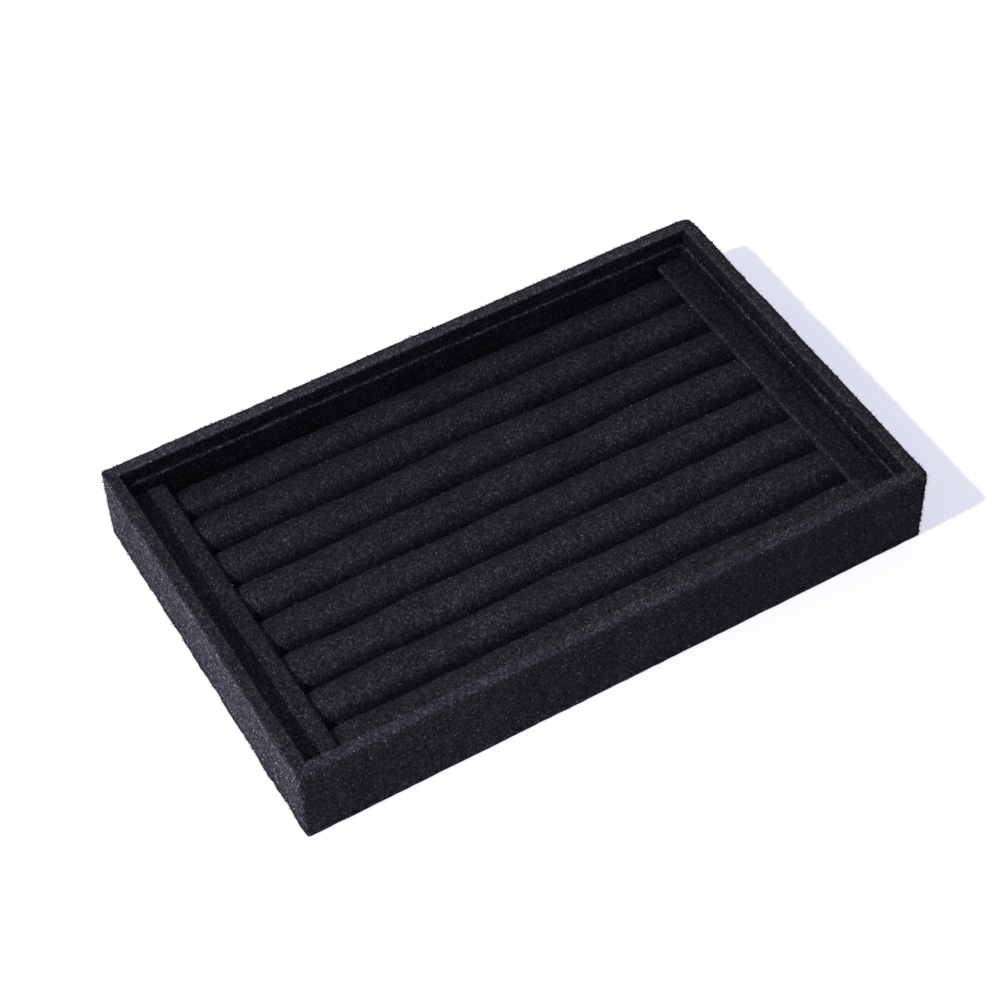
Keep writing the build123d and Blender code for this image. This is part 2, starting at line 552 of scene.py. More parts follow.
card_side = [(wall, well_low[2]), (wall - cloth, well_low[2])]
board_side = [(wall - cloth, rim - cloth), (cloth, rim - cloth), (cloth, board_foot), (turn_in, board_foot)]
hidden_points = card_side + board_side
low_edge = foot_gap + foot_round
high_edge = rim - rim_round
outer_profile = np.vstack([
    run((turn_in, foot_gap), (foot_round, foot_gap), weave_step),
    bend((foot_round, low_edge), foot_round, 3, 2),
    run((0, low_edge), (0, high_edge), weave_step),
    bend((rim_round, high_edge), rim_round, 2, 1, steps=6),
    run((rim_round, rim), (wall - rim_round, rim), weave_step / 2),
    bend((wall - rim_round, high_edge), rim_round, 1, 0, steps=6),
    run((wall, high_edge), (wall, ledge - cloth), weave_step),
    run((wall, ledge - cloth), (wall, well_low[2]), hidden_step),
    hidden_points,
])
print("outer profile:", len(outer_profile), "points,", round(wall / MM, 2), "mm wall")

# %% [markdown]
# The rows of the profile that show get their small faults: long soft waves where the board isn't flat, a
# faint fold at each corner of the rim, where the cloth is mitred, and a butt seam near a back corner. The
# cloth is cut by hand at the foot, so its edge is ragged, most at the left end. The back right corner is
# blunted by use, and where the glue doesn't hold, the cloth stands off the board by up to half a
# millimetre. The rows are a view into the whole grid, so each change to them changes the grid.

# %% The outer velvet's faults
# Waves of a face: depth and length in mm, and the seed that picks them
board_waves = (0.10, 38, 11)
cloth_waves = (0.035, 7, 12)
foot_waves = (0.14, 17, 13), (0.09, 4, 14)
board_span = (2 * MM, 6 * MM)
ragged_height = 2.2 * MM
rim_span = (rim - 0.8 * MM, rim - 0.1 * MM)
mitre_depth = 0.16 * MM
mitre_width = 0.45 * MM
seam_from_end = 7 * MM
seam_depth = 0.18 * MM
seam_width = 0.35 * MM
blunt_depth = 0.8 * MM
blunt_reach = 2.2 * MM
blunt_elsewhere = 0.24 * MM
loose_span = (0.2 * MM, 3 * MM)
loose_foot_height = 1.5 * MM
mottle_share = 0.06
mottle_wave = 3.5 * MM
mottle_stretch = (1, 0.5, 1)

half_tray = (tray_high - tray_low)[:2] / 2
path = way_round(2 * half_tray[0], 2 * half_tray[1], weave_step)
shares, ways, sides = path
inset, height = outer_profile.T
corner_round = outer_corner + (inner_corner - outer_corner) * np.clip(inset / wall, 0, 1)
outer_grid = carried_round(path, half_tray, inset, height, corner_round)
shown_rows = len(outer_profile) - len(hidden_points)
shown_grid = outer_grid[:shown_rows]
shown_inset, shown_height = inset[:shown_rows, None], height[:shown_rows, None]


def on_sides(*values, **named):
    """One number for each column of the tray's own path."""
    return by_side(ways, *values, **named)


on_wall = ramp_up(shown_grid[..., 2], *board_span)
ragged = bump_at(shown_grid[..., 2], 0, ragged_height) * (shown_inset < foot_round)
wander = faults(shown_grid, board_waves) * on_wall + faults(shown_grid, cloth_waves)
wander += ragged * on_sides(front=0.15, right=0.5, back=0.5, left=1) * faults(shown_grid, *foot_waves)
on_rim = ramp_up(shown_grid[..., 2], *rim_span)
from_edges = half_tray - np.abs(shown_grid[..., :2])
wander -= mitre_depth * on_rim * bump_at(from_edges[..., 0], from_edges[..., 1], mitre_width)
at_seam = bump_at(shown_grid[..., 0], seam_from_end - half_tray[0], seam_width)
wander -= seam_depth * at_seam * (shown_grid[..., 1] > half_tray[1] - wall / 2)
shown_grid += outward(shown_grid, ring_columns=True) * wander[..., None]

corner_distance = np.linalg.norm(half_tray - shown_grid[..., :2], axis=2)
is_back_right = (shown_grid[..., :2] > 0).all(-1)
blunted = np.where(is_back_right, blunt_depth, blunt_elsewhere) * bump_at(corner_distance, 0, blunt_reach)
shown_grid[..., :2] -= np.sign(shown_grid[..., :2]) * blunted[..., None] / math.sqrt(2)
shown_grid[..., 2] = np.maximum(shown_grid[..., 2], foot_gap)
mottle = mottle_share * soft_field(shown_grid * mottle_stretch, mottle_wave, seed=15)

on_outside = 1 - ramp_up(shown_inset, *loose_span)
loose = on_sides(front=0.1, right=0.5, back=0.25, left=0.04) * MM
loose_foot = on_sides(front=0.45, right=0.1, back=0.1) * MM * bump_at(shown_height, 0, loose_foot_height)
shown_grid[..., :2] += ways * (on_outside * (loose + loose_foot))[..., None]
print("largest fault in mm:", round(float(np.abs(wander).max() / MM), 2))

# %% [markdown]
# The nap differs from side to side. Part of that is the cloth's own tone: it is one strip wrapped round the
# tray, and its pile runs along some sides and up others. Part is painted light and shade: the left end,
# towards the lamp, is far lighter, the right end and the inside of the walls are darker, and along the front
# and the back light is painted as falling off from left to right. The rim is brushed by hands and lids,
# which raises its pile. On the sides, painted bands of light and shade run along their height, and the ends
# are mottled. All of it is a table of numbers on the grid: one factor for each column, one for each row, and
# their product.

# %% How the outer velvet is brushed, and its painted light and shade
# In the order front, right, back, left. The outside tones hold painted light: the left end, towards the
# lamp, is far lighter, and the right end darker. The inside tones are painted shade inside the walls. A
# slope paints light falling off from the left end of a side to the right one. A painted highlight lies
# inside the rim, and an edge line, in mm from the outside, along its outer edge carries painted shade, on
# the front a painted highlight.
outside_tones_and_light = 1.5, 1.1, 1.5, 3.3
outside_light_falloff = 0.24, 0, 0.24, 0
rim_tones = 2.57, 1.73, 2.58, 1.565
rim_light_falloff = 0.1, 0, 0.02, 0
inside_shade_tones = 0.6, 0.81, 0.785, 0.5
inner_edge_highlights = 0.0, 0.75, 0.5, 0.2
edge_shades_and_highlight = -0.15, 0.6, 0.4, 0.0
edge_lines = 0.75, 0.42, 0.75, 0.75
edge_light_width = 0.35 * MM
inner_highlight_line = wall - 0.7 * MM

# How much a patch at one end of the front changes the nap, and its width as a share of half the tray
right_patch = (0.2, 0.15)
left_rim_patch = (-0.5, 0.12)

# Painted bands of light and shade along the height of the sides: height and width in mm, and how much
# lighter each one is
painted_end_bands = ((2.75, 1.1, -0.44), (5.4, 1.2, 0.2), (13.8, 1.0, 0.09), (19.2, 1.7, 0.23),
             (22.8, 2.0, 0.12), (27.0, 1.7, 0.48), (29.3, 1.1, -0.24))
painted_long_bands = ((1.8, 1.3, 0.36), (5.0, 2.0, 0.06), (29.4, 1.4, 0.1))


def banded(bands):
    """How light each row of the profile is, from the bands that cross it."""
    shade = 1 + sum(lighter * bump_at(height, place * MM, width * MM) for place, width, lighter in bands)
    return shade[:, None]


share_x = shares[:, 0]
end_share = ways[:, 0] ** 2
is_inner = inset > wall / 2
# Painted light on the outside: each side's tone, the left end lit far lighter, and light falling off to the
# right.
outside_nap = on_sides(*outside_tones_and_light) * (1 - on_sides(*outside_light_falloff) * share_x)
outside_nap += on_sides(front=right_patch[0]) * bump_at(share_x, 1, right_patch[1])
rim_nap = on_sides(*rim_tones) * (1 - on_sides(*rim_light_falloff) * share_x)
rim_nap += on_sides(front=left_rim_patch[0]) * bump_at(share_x, -1, left_rim_patch[1])
# Painted shade: the inside of the walls darker than the outside.
inside_nap = on_sides(*inside_shade_tones)

turn_start = rim - np.where(is_inner, 0.6, 0.9) * MM
turn_end = rim - np.where(is_inner, 0.1, 0.3) * MM
rim_share = (ramp_up(inset, 0, MM) * ramp_up(height, turn_start, turn_end))[:, None]
# The face shade is the painted bands of light and shade, and on the ends the cloth's own mottle.
face_shade = banded(painted_end_bands) * end_share + banded(painted_long_bands) * (1 - end_share)
face_shade[:shown_rows] *= 1 + mottle * end_share
# Painted highlights along the inner edge of the rim, and painted shade along its outer edge, a highlight on
# the front.
edge_light = 1 + on_sides(*inner_edge_highlights) * bump_at(inset, inner_highlight_line, edge_light_width)[:, None]
edge_light -= on_sides(*edge_shades_and_highlight) * bump_at(inset[:, None], on_sides(*edge_lines) * MM, edge_light_width)
outer_nap = np.where(is_inner[:, None], inside_nap, outside_nap * face_shade)
outer_nap = (1 - rim_share) * outer_nap + rim_share * rim_nap * edge_light
print("nap from", outer_nap.min().round(2), "to", outer_nap.max().round(2))

# %% The outer cover and its finishes
outer_cover = surface("outer_cover", outer_grid, outer_nap, ring_rows=True, ring_columns=True)
finish_piece(outer_cover, velvet["raised"], "velvet", "tray", "outer_velvet")
for kind in ("combed", "inner_walls", "brushed"):
    outer_cover.data.materials.append(velvet[kind])
below_rim = height < rim - rim_round / 2
laid_rows = is_inner & below_rim
outside_rows = (~is_inner & below_rim)[:, None]
finish_table = np.where(outside_rows, np.where(sides % 2, 1, 3), 2 * laid_rows[:, None])
outer_cover.data.polygons.foreach_set("material_index", finish_table.ravel().astype(np.int32))

# %% [markdown]
# ## The liner
# Four strips of card stand inside the walls, 5 mm lower than the rim, and their velvet makes the ledge that
# a lid or a second tray sits on. The same path carries this smaller profile. Its top edge is rounded where
# the cloth folds over the card.

# %% The liner velvet
liner = bed_low[0] - tray_low[0]
fold_round = 0.55 * MM
seen_depth = 7 * MM
card_line = liner - cloth
sheet_waves = (0.09, 26, 21), (0.035, 6, 22)
# Painted light on the liner: a painted highlight along the ledge's folded edge, for each side, and painted
# shade, the liner a little darker than the wall above it.
ledge_highlights = 2.1, 1.8, 1.5, 2.1
liner_shade_share = 0.88
ledge_line = liner - 0.25 * MM
ledge_width = 0.32 * MM
ledge_span = (ledge - 0.7 * MM, ledge - 0.3 * MM)

hidden_points = [(liner, well_low[2]), (card_line, well_low[2]),
                 (card_line, card_high[2]), (wall, card_high[2])]
liner_profile = np.vstack([
    run((wall, ledge), (liner - fold_round, ledge), weave_step / 2),
    bend((liner - fold_round, ledge - fold_round), fold_round, 1, 0),
    run((liner, ledge - fold_round), (liner, ledge - seen_depth), weave_step),
    run((liner, ledge - seen_depth), (liner, well_low[2]), hidden_step),
    hidden_points,
])
inset, height = liner_profile.T
liner_grid = carried_round(path, half_tray, inset, height, np.full(len(inset), inner_corner))
shown = len(liner_profile) - len(hidden_points)
sag = faults(liner_grid[:shown], *sheet_waves)
liner_grid[:shown] += outward(liner_grid[:shown], ring_columns=True) * sag[..., None]
at_ledge_highlight = bump_at(inset, ledge_line, ledge_width) * ramp_up(height, *ledge_span)
liner_nap = inside_nap * (liner_shade_share + on_sides(*ledge_highlights) * at_ledge_highlight[:, None])
liner_cover = surface("liner_cover", liner_grid, liner_nap, ring_rows=True, ring_columns=True)
finish_piece(liner_cover, velvet["inner_walls"], "velvet", "tray", "liner_velvet")

# %% [markdown]
# ## The velvet on the floor
# Under the insert the floor is covered too, which shows when the insert is lifted out. It is a thin sheet
# glued flat, so a grid with slow waves is enough, and Solidify gives it its thickness downwards.

# %% The floor velvet
floor_rows, floor_columns = 90, 140
sink = 0.06 * MM
sink_wave = 30 * MM

rows = np.linspace(bed_low[1], bed_high[1], floor_rows)
columns = np.linspace(bed_low[0], bed_high[0], floor_columns)
y, x = np.meshgrid(rows, columns, indexing="ij")
floor_grid = np.dstack([x, y, np.full(x.shape, bed_high[2])])
floor_grid[..., 2] -= sink * (1 + np.tanh(soft_field(floor_grid, sink_wave, seed=31)))
floor_cover = surface("floor_cover", floor_grid, nap=1.0)
thicken(floor_cover, bed_high[2] - bed_low[2] - 2 * sink)
finish_piece(floor_cover, velvet["laid"], "velvet", "tray", "floor_velvet")

# %% [markdown]
# ## The rolls
# Eight bars of foam lie side by side, each in its own velvet cover, and things are held in the creases
# between them. A section of a roll has straight flanks and a half-round crown. The creases aren't ruled
# lines: each wanders a little, and both rolls beside it follow it, so that they stay together without
# cutting into each other. The strips at the ends press the crowns down beside them. The ends close by
# letting the section shrink to a line.

# %% The creases between the rolls
left_strip_edge = corners("left_strip_velvet")[1][0]
right_strip_edge = corners("right_strip_velvet")[0][0]
strip_cover = 2 * MM
strip_reach = 9 * MM
crease_gap = 0.25 * MM
crease_wander = 0.28 * MM
crease_wave = 55 * MM
crease_lane = 0.1
press_depth = 0.85 * MM
press_reach = 3.5 * MM
press_from_strip = 0.5 * MM


def roll_box(number):
    """The lowest and the highest corner of one roll. Number 1 is at the front."""
    return corners(f"roll_velvet_{number}")


def free_share(x):
    """How free a roll is at x: 0 under the strips at its ends, and 1 a short way past them."""
    past_left = ramp_up(x - left_strip_edge, -strip_cover, strip_reach)
    return past_left * ramp_up(right_strip_edge - x, -strip_cover, strip_reach)


def pressed(x):
    """How far the crown is pressed down at x, which is most just past the inner edge of each strip."""
    past_left = bump_at(x - left_strip_edge, press_from_strip, press_reach)
    return press_depth * (past_left + bump_at(right_strip_edge - x, press_from_strip, press_reach))


def wave_along(x, lane, wave, seed):
    """A soft wave along x that dies out under the strips. It is the field's value on one lane in y."""
    line = np.stack([x, np.full(x.shape, lane), np.zeros(x.shape)], -1)
    return soft_field(line, wave, seed) * free_share(x)


def crease_line(number, x):
    """The y of the crease behind roll `number` at each x: its straight place plus a slow wave."""
    if number == 0:
        return np.full(x.shape, roll_box(1)[0][1])
    if number == roll_count:
        return np.full(x.shape, roll_box(roll_count)[1][1])
    straight = (roll_box(number)[1][1] + roll_box(number + 1)[0][1]) / 2
    wave = wave_along(x, number * crease_lane, crease_wave, seed=40 + number)
    return straight + crease_wander * wave


# %% The surface of one roll
roll_step = 1.3 * MM
section_step = 0.9 * MM
end_round = 1.2 * MM
edge_steps = 5
closing_steps = 6
plump_share = 0.018
plump_wave = 60 * MM


def roll_columns(half, skin):
    """Where a roll's sections stand along it, what is taken off their radius, and the share that is closed.
    Along the body nothing is. Round the edge of an end a quarter circle is, and the flat end closes."""
    steps = math.ceil(2 * half / roll_step)
    half -= skin
    x = np.linspace(end_round - half, half - end_round, steps)
    turn = QUARTER_TURN * np.arange(1, edge_steps + 1) / edge_steps
    edge = half - end_round * (1 - np.sin(turn)), end_round * (1 - np.cos(turn)), 0 * turn
    closing = np.arange(1, closing_steps + 1) / closing_steps
    face = np.full(closing_steps, half), np.full(closing_steps, end_round), closing
    end = np.hstack([edge, face])
    start = end[:, ::-1] * [[-1], [1], [1]]
    return np.hstack([start, (x, 0 * x, 0 * x), end])


def roll_section(flank, radius):
    """One section as three shares for each point: of the radius across, of the flank up, and of the radius
    above the flank. It runs up the front flank, over a half circle and down the back flank."""
    flank_steps = math.ceil(flank / section_step)
    angle = np.linspace(math.pi, 0, math.ceil(math.pi * radius / section_step) + 1)
    up = np.arange(flank_steps) / flank_steps
    level = np.zeros(flank_steps)
    across = np.concatenate([level - 1, np.cos(angle), level + 1])
    along_flank = np.concatenate([up, np.ones(len(angle)), up[::-1]])
    above = np.concatenate([level, np.sin(angle), level])
    return across[:, None], along_flank[:, None], above[:, None]


def roll_grid(number, skin=0.0):
    """A roll as a grid: its section, carried between the two creases beside it. `skin` is off all round."""
    low, high = roll_box(number)
    x, off, closed = roll_columns((high[0] - low[0]) / 2, skin)
    front = crease_line(number - 1, x) + (crease_gap / 2 if number > 1 else 0)
    back = crease_line(number, x) - (crease_gap / 2 if number < roll_count else 0)
    half_width = (high[1] - low[1]) / 2
    flank = high[2] - low[2] - half_width
    across, along_flank, above = roll_section(flank, half_width)
    plumpness = 1 + plump_share * wave_along(x, number, plump_wave, seed=60 + number)
    radius = ((back - front) / 2 - skin - off) * (1 - closed)
    y = (front + back) / 2 + across * radius
    z = low[2] + along_flank * flank + above * (radius * plumpness - pressed(x) * (1 - closed))
    return np.dstack([np.broadcast_to(x, y.shape), y, z])


# %% [markdown]
# ## Letting the covers take their shape
# A cover is cloth with foam pushing from inside. It is glued at its foot and its ends, so it swells a
# little in between and pulls into shallow hollows where it is tight. Blender's cloth can work that out.
# Cloth at its true size of a few millimetres is too small for the solver, so the rolls are simulated as a
# coarse mesh twenty times as large. How far each point moved is then scaled back, limited, and spread over
# the fine grid.

# %% The cloth simulation
enlarged = 20
coarse = 2
swell_frames = 20
most_swell = 0.5 * MM
tight_patch = 17 * MM
tight_middle, tight_spread = 0.5, 0.4
held_foot = (0.1, 0.35)
weight_steps = 16
cloth_rules = {
    "quality": 5, "mass": 0.3, "tension_stiffness": 12, "compression_stiffness": 12,
    "bending_stiffness": 0.4, "use_pressure": True, "uniform_pressure_force": 8,
    "vertex_group_mass": "held", "vertex_group_shrink": "tight", "shrink_min": -0.012, "shrink_max": 0.014,
}


def between(table, shape):
    """Spreads a coarse table over a finer one of the given shape, by a straight mix of its neighbours."""
    for axis in (0, 1):
        place = np.linspace(0, table.shape[axis] - 1, shape[axis])
        low = np.minimum(place.astype(int), table.shape[axis] - 2)
        share = (place - low).reshape([-1 if k == axis else 1 for k in range(table.ndim)])
        table = np.take(table, low, axis) * (1 - share) + np.take(table, low + 1, axis) * share
    return table


def set_weights(piece, group, weights):
    """Vertex weights in a few even steps, so that each step is one call."""
    made = piece.vertex_groups.new(name=group)
    levels = np.rint(np.clip(weights, 0, 1).ravel() * weight_steps).astype(int)
    for level in np.unique(levels):
        made.add(np.flatnonzero(levels == level).tolist(), level / weight_steps, "REPLACE")


def swell(grid):
    """How far each point of a cover moves when the cloth swells. Its foot and its ends are held. The ends
    that close to a line are left out, since the solver can't work with points on one spot."""
    closed = edge_steps + closing_steps
    body = grid[:, closed:-closed]
    small = body[::coarse, ::coarse] * enlarged
    height = (small[..., 2] - small[..., 2].min()) / np.ptp(small[..., 2])
    held = np.maximum(1 - free_share(small[..., 0] / enlarged), 1 - ramp_up(height, *held_foot))
    rag = surface("swelling_cover", small, ring_rows=True)
    set_weights(rag, "held", held)
    tight = tight_middle + tight_spread * soft_field(small / enlarged, tight_patch, seed=80)
    set_weights(rag, "tight", tight)
    rules = rag.modifiers.new("Cloth", "CLOTH").settings
    rules.effector_weights.gravity = 0
    for rule, value in cloth_rules.items():
        setattr(rules, rule, value)
    for number in range(1, swell_frames + 1):
        bpy.context.scene.frame_set(number)
    settled = rag.evaluated_get(bpy.context.evaluated_depsgraph_get()).data
    moved = np.empty(len(settled.vertices) * 3, np.float32)
    settled.vertices.foreach_get("co", moved)
    moved = (moved.reshape(small.shape) - small) / enlarged
    bpy.context.scene.frame_set(1)
    bpy.data.objects.remove(rag)
    far = np.linalg.norm(moved, axis=2, keepdims=True)
    print("largest swell in mm:", round(float(far.max() / MM), 2))
    moved *= np.minimum(1, most_swell / np.maximum(far, tiny))
    return np.pad(between(moved, body.shape[:2]), ((0, 0), (closed, closed), (0, 0)))


# %% [markdown]
# ## A roll's cover, core and pile
# The pile on a roll holds painted light and shade in its nap: a painted highlight on the front of its crown,
# painted shade towards its back and down in the crease, and painted light that lifts the crease low down
# beside the strips, where the crown is pressed. Each roll is a little darker than the one before it. The
# foam core follows the swollen cover, one cloth's thickness further in.

# %% Covers and foam cores
skin_of_cover = 0.85 * MM
first_nap = 1.59
nap_per_roll = 0.072875
# Painted shade: the back of the crown darker than its front, and down in the creases. Painted light lifts
# the creases low down beside the strips.
back_shade_slope = 0.2
crease_shade = 0.38
crease_shade_lean = 0.15
crease_shade_span = (0.2, 0.97)
crease_lift_span = (0, 0.8)
roll_pale_share = 0.008

# Painted highlights on the crown, their place from -1 in front to 1 behind, and their width. The one low on
# the front flank paints light falling off: lighter at the left end and darker at the right.
crown_highlight, crown_highlight_band = 0.22, (-0.45, 0.3)
flank_light_falloff, flank_falloff_band = 0.35, (-0.65, 0.25)


def roll_shade(number, grid, crown_foot):
    """The nap of a roll's cover with its painted light and shade, from how high and how far across the crown
    each point lies.
    """
    low, high = roll_box(number)
    above = (grid[..., 2] - crown_foot) / (high[2] - crown_foot)
    across = (grid[..., 1] - grid[..., 1].mean(0)) / (high[1] - low[1]) * 2
    share_x = grid[..., 0] / high[0]
    painted_highlights = crown_highlight * bump_at(across, *crown_highlight_band) - flank_light_falloff * share_x * bump_at(across, *flank_falloff_band)
    nap = (first_nap - nap_per_roll * (number - 1)) * (1 - back_shade_slope * across + painted_highlights)
    nap = nap * (crease_shade + (1 - crease_shade) * ramp_up(above + crease_shade_lean * across, *crease_shade_span))
    return nap * (1 + (1 - ramp_up(above, *crease_lift_span)) * pressed(grid[..., 0]) / press_depth)


def make_roll(number, foam):
    """The cover and the foam core of one roll, both from the same swollen grid, and the cover's pile."""
    grid = roll_grid(number)
    moved = swell(grid)
    grid = grid + moved
    low, high = roll_box(number)
    crown_foot = high[2] - (high[1] - low[1]) / 2
    nap = roll_shade(number, grid, crown_foot)
    cover = close_seams(surface(f"roll_cover_{number}", grid, nap))
    thicken(cover, cloth)
    finish_piece(cover, velvet["laid"], "velvet", "insert", f"roll_velvet_{number}")
    core_grid = roll_grid(number, skin=skin_of_cover) + moved
    core = close_seams(surface(f"roll_core_{number}", core_grid, ring_rows=True))
    finish_piece(core, foam, "foam", "insert", f"roll_foam_{number}")
    crown = grid[:, grid.shape[1] // 2, 2] > crown_foot
    grow_pile(f"roll_pile_{number}", grid[crown], nap[crown], 100 + number, "laid", "insert",
              pale=roll_pale_share)


# %% Make the eight rolls
foam_finish, tree, place = new_finish("grey_polyurethane_foam")
foam_cell = 0.7 * MM
cells = add(tree, "TexVoronoi", {"Vector": place, "Scale": 1 / foam_cell}).outputs["Distance"]
foam_colour = shades(tree, cells, (0.1, "#2C2C2E"), (0.7, "#58585B"))
plain_stuff(tree, foam_colour, rough=0.9, height=cells, relief=0.25 * MM, strength=0.8)

for number in range(1, roll_count + 1):
    make_roll(number, foam_finish)

# %% [markdown]
# ## The strips over the roll ends
# A thin strip of board, wrapped in velvet, is glued over the ends of the rolls at each side. It hides the
# cut foam. The wrap is a stack of nested rounded rectangles: the first ones climb the edge, the next turn
# over it on a quarter circle, and the rest draw in over the top until they close in a line.

# %% Strip wraps
strip_corner = 1.0 * MM
strip_edge_round = 0.75 * MM
strip_step = 0.9 * MM
strip_cloth = 0.6 * MM
dish_depth = 0.22 * MM
# Painted light on the strips: a highlight along the edges, most where they face the lamp, and painted shade
# on the edges that face away. On the left strip painted light lifts the wall's shadow on its outer half, and
# on the right strip the light is painted as falling off from the front to the back.
lit_edge_line, lit_edge_width = 0.25 * MM, 0.4 * MM
shaded_edge_line, shaded_edge_width = 0.9 * MM, 0.6 * MM
shadow_lift_span = (0.35, 0.55)
strip_looks = {
    "left": {"tone": 1.47, "shadow_lift": 0.2, "front_light_falloff": 0, "waves": (0.07, 24, 5899), "seed": 4},
    "right": {"tone": 0.925, "shadow_lift": 0, "front_light_falloff": 0.07, "waves": (0.07, 24, 5100), "seed": 5},
}


def strip_grid(low, high, waves):
    """Nested rounded rectangles, from the foot of the wrap up its side, over its edge and in to a line. It
    also gives the painted light along the folded edges: a painted highlight, most on the left, which faces
    the lamp, and painted shade on the edges that face right, away from it."""
    half = (high - low)[:2] / 2
    top = high[2] - low[2]
    profile = np.vstack([
        run((0, 0), (0, top - strip_edge_round), strip_step / 2),
        bend((strip_edge_round, top - strip_edge_round), strip_edge_round, 2, 1),
        run((strip_edge_round, top), (half.min(), top), strip_step),
        [(half.min(), top)],
    ])
    inset, height = profile.T
    radius = np.clip(strip_corner - inset, 0, None)
    way = way_round(2 * half[0], 2 * half[1], strip_step, corner_steps=6)
    grid = carried_round(way, half, inset, height, radius)
    grid += np.array([*(low + high)[:2] / 2, low[2]])
    inset, height = inset[:, None], height[:, None]
    lies = faults(grid, waves) * ramp_up(height, 0, top)
    grid[..., 2] += dish_depth * ramp_up(inset, 0, half.min()) + lies
    edge_light = 1 + by_side(way[1], 0.2, 0.1, 0.2, 1.2) * bump_at(inset, lit_edge_line, lit_edge_width)
    edge_light -= by_side(way[1], right=0.2) * bump_at(inset, shaded_edge_line, shaded_edge_width)
    return grid, edge_light


for side, look in strip_looks.items():
    low, high = corners(f"{side}_strip_velvet")
    grid, edge_light = strip_grid(low, high, look["waves"])
    along_width = (grid[..., 0] - low[0]) / (high[0] - low[0])
    # Painted light: the lift of the wall's shadow and the falloff towards the back.
    nap = look["tone"] * edge_light * (1 + look["shadow_lift"] * (1 - ramp_up(along_width, *shadow_lift_span)))
    nap = nap * (1 - look["front_light_falloff"] * grid[..., 1] / high[1])
    wrap = close_seams(surface(f"{side}_strip_cover", grid, nap, ring_columns=True))
    thicken(wrap, strip_cloth)
    finish_piece(wrap, velvet["laid"], "velvet", "insert", f"{side}_strip_velvet")
    grow_pile(f"{side}_strip_pile", ring(grid), ring(nap), look["seed"], "laid", "insert")

# %% [markdown]
# ## Fibres on the tray
# The outer velvet is large, so its fibres grow in pieces: one for each outer side of the tray, one for the
# rim and one for the inside of the walls. They grow only where they can be seen, down to the ledge and a
# little way past it. A short dense fringe hides the cut edge at the foot, and no tip reaches below the
# table. The rim's outer edge and the corners are rubbed, so that small dark bunches stand out from them.

# %% Fibres on the outer velvet and the liner
lowest_pile = 0.25 * MM
liner_pile_depth = 6 * MM
comb_lean = 0.7
foot_fringe = 1.2 * MM
darkest_fringe = 1.4
corner_columns = 9
bunch_tone = 0.5
bunches = {"density": 4.5 / MM**2, "hairs": 0.2, "bunch": 8}
fringe = {"density": 9 / MM**2, "hairs": 0.15, "bunch": 9}
fewer_pale, none_pale = {"pale": pale_fibre_share / 2}, {"pale": 0}

height = outer_profile[:, 1]
foot_row = np.flatnonzero(height > lowest_pile)[0]
edge_row = np.flatnonzero(height > rim - rim_round / 2)[0]
rim_row = np.flatnonzero(laid_rows)[0]
ledge_row = np.flatnonzero((laid_rows & (height > ledge - cloth))[:shown_rows])[-1]
flat_row = np.flatnonzero(height == rim)[0]
fringe_row = np.flatnonzero(height > foot_fringe)[0]
liner_row = np.flatnonzero(liner_profile[:shown, 1] > ledge - liner_pile_depth)[-1]
for side, side_name in enumerate(("front", "right", "back", "left")):
    own = np.flatnonzero(sides == side)
    own = np.append(own, (own[-1] + 1) % len(sides))
    face = slice(foot_row, edge_row + 1), own
    corner = slice(foot_row, edge_row + 1), own[-corner_columns:]
    lean, kind = (comb_lean, "combed") if side % 2 else (0, "brushed")
    grow_pile(f"{side_name}_wall_pile", outer_grid[face], outer_nap[face], 200 + side, kind, "tray",
              combed=lean)
    grow_pile(f"{side_name}_corner_tufts", outer_grid[corner], outer_nap[corner] * bunch_tone,
              220 + side, "brushed", "tray", **bunches)

dark_nap, fringe_nap = outer_nap * bunch_tone, np.minimum(outer_nap, darkest_fringe)
ring_piles = (
    ("rim_pile", outer_grid, outer_nap, edge_row, rim_row, 209, "raised", {}),
    ("rim_edge_tufts", outer_grid, dark_nap, edge_row - 1, flat_row, 212, "brushed", bunches),
    ("foot_fringe", outer_grid, fringe_nap, foot_row, fringe_row, 213, "brushed", fringe),
    ("inner_wall_pile", outer_grid, outer_nap, rim_row, ledge_row, 210, "inner_walls", fewer_pale),
    ("ledge_pile", liner_grid, liner_nap, 0, liner_row, 211, "inner_walls", none_pale),
)
for name, grid, nap, first, last, seed, kind, more in ring_piles:
    rows = slice(first, last + 1)
    grow_pile(name, ring(grid[rows]), ring(nap[rows]), seed, kind, "tray", **more)

# %% [markdown]
# ## The pieces that keep their CAD shape
# Boards, cards and the backing sheet are flat and stiff, so their shape is right as it comes. Each gets the
# finish of its real stuff. Most of it shows only when the insert is out, or from below.


# %% Board, card and backing finishes
leather_grain = 1.3 * MM
rubbed_patch = 14 * MM
paper_rough = 0.4


def pulp_finish(name, fleck, detail, cloud, fleck_share, tones, rough, relief, strength):
    """Pressed fibre: flecks on slow clouds of colour, which are also its fine relief."""
    finish, tree, place = new_finish(name)
    flecks = noise(tree, place, fleck, detail)
    mix = weighed(tree, (flecks, fleck_share), (noise(tree, place, cloud), 1 - fleck_share))
    plain_stuff(tree, shades(tree, mix, *tones), rough, flecks, relief, strength)
    return finish


